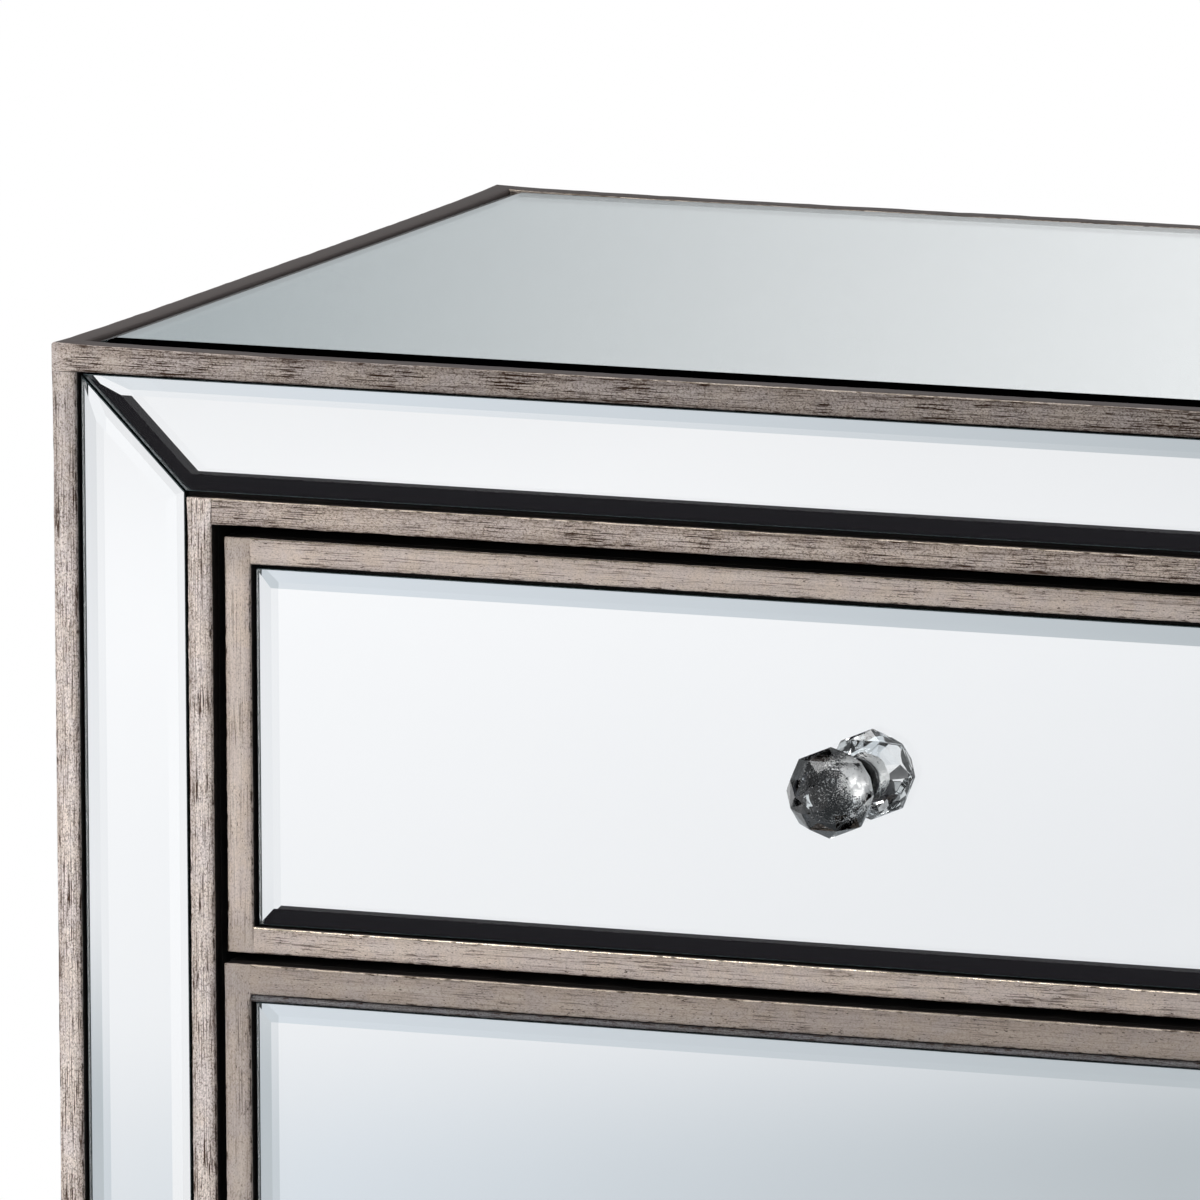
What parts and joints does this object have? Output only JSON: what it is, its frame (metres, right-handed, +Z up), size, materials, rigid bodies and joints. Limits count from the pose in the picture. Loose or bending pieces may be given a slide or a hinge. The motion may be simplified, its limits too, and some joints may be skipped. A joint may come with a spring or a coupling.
{
  "type": "mirrored end table",
  "caption": "Mirrored side table with drawers: bevelled mirror panels in antiqued silver wood strips on a board core, faceted crystal knobs, tapered legs and ball-bearing drawer slides.",
  "frame": {"origin": "on the floor, at the middle of the rectangle that the table and its knobs take up", "axes": "+X to the right seen from the front, +Y to the back, +Z up; the drawers open towards -Y"},
  "size_m": [0.56, 0.407, 0.6108],
  "materials": {
    "silver_wood": "antiqued champagne silver, satin, dark worn streaks",
    "mirror_glass": "silvered bevelled glass",
    "black_board": "fibreboard painted matt black",
    "back_board": "plain brown hardboard",
    "drawer_wood": "clear lacquered solid wood and plywood",
    "zinc_steel": "zinc plated steel",
    "chrome": "polished chrome",
    "crystal": "clear cut crystal",
    "glide": "black nylon"
  },
  "bodies": {
    "case": {"back_panel": "back_board", "back_panel_screws": "zinc_steel", "border_mirror_bottom": "mirror_glass", "border_mirror_left": "mirror_glass", "border_mirror_right": "mirror_glass", "border_mirror_top": "mirror_glass", "bottom_edge_strips": "silver_wood", "bottom_panel": "black_board", "case_slides": "zinc_steel", "corner_post_back_left": "silver_wood", "corner_post_back_right": "silver_wood", "corner_post_front_left": "silver_wood", "corner_post_front_right": "silver_wood", "face_frame_bottom": "black_board", "face_frame_left": "black_board", "face_frame_right": "black_board", "face_frame_top": "black_board", "foot_glides": "glide", "left_side_mirror": "mirror_glass", "left_side_panel": "black_board", "leg_back_left": "silver_wood", "leg_back_right": "silver_wood", "leg_bolts": "zinc_steel", "leg_front_left": "silver_wood", "leg_front_right": "silver_wood", "leg_nuts": "zinc_steel", "opening_trim": "silver_wood", "right_side_mirror": "mirror_glass", "right_side_panel": "black_board", "runner_blocks": "drawer_wood", "top_edge_back": "silver_wood", "top_edge_front": "silver_wood", "top_edge_left": "silver_wood", "top_edge_right": "silver_wood", "top_mirror": "mirror_glass", "top_panel": "black_board"},
    "upper_drawer": {"upper_drawer_back": "drawer_wood", "upper_drawer_bottom": "drawer_wood", "upper_drawer_front": "black_board", "upper_drawer_knob": "crystal", "upper_drawer_knob_base": "chrome", "upper_drawer_knob_screw": "zinc_steel", "upper_drawer_mirror": "mirror_glass", "upper_drawer_side_left": "drawer_wood", "upper_drawer_side_right": "drawer_wood", "upper_drawer_slides": "zinc_steel", "upper_drawer_trim": "silver_wood"},
    "lower_drawer": {"lower_drawer_back": "drawer_wood", "lower_drawer_bottom": "drawer_wood", "lower_drawer_front": "black_board", "lower_drawer_knob": "crystal", "lower_drawer_knob_base": "chrome", "lower_drawer_knob_screw": "zinc_steel", "lower_drawer_mirror": "mirror_glass", "lower_drawer_side_left": "drawer_wood", "lower_drawer_side_right": "drawer_wood", "lower_drawer_slides": "zinc_steel", "lower_drawer_trim": "silver_wood"},
    "upper_ball_cages": {"upper_drawer_ball_cages": "zinc_steel"},
    "lower_ball_cages": {"lower_drawer_ball_cages": "zinc_steel"}
  },
  "joints": [
    {"name": "upper_drawer_slide", "type": "slide", "parent": "case", "child": "upper_drawer", "axis": [0, -1, 0], "range_m": [0, 0.22]},
    {"name": "upper_ball_cage_slide", "type": "slide", "parent": "case", "child": "upper_ball_cages", "axis": [0, -1, 0], "range_m": [0, 0.11]},
    {"name": "lower_drawer_slide", "type": "slide", "parent": "case", "child": "lower_drawer", "axis": [0, -1, 0], "range_m": [0, 0.22]},
    {"name": "lower_ball_cage_slide", "type": "slide", "parent": "case", "child": "lower_ball_cages", "axis": [0, -1, 0], "range_m": [0, 0.11]}
  ],
  "couplings": [
    {"joint": "upper_ball_cage_slide", "follows": "upper_drawer_slide", "ratio": 0.5},
    {"joint": "lower_ball_cage_slide", "follows": "lower_drawer_slide", "ratio": 0.5}
  ]
}
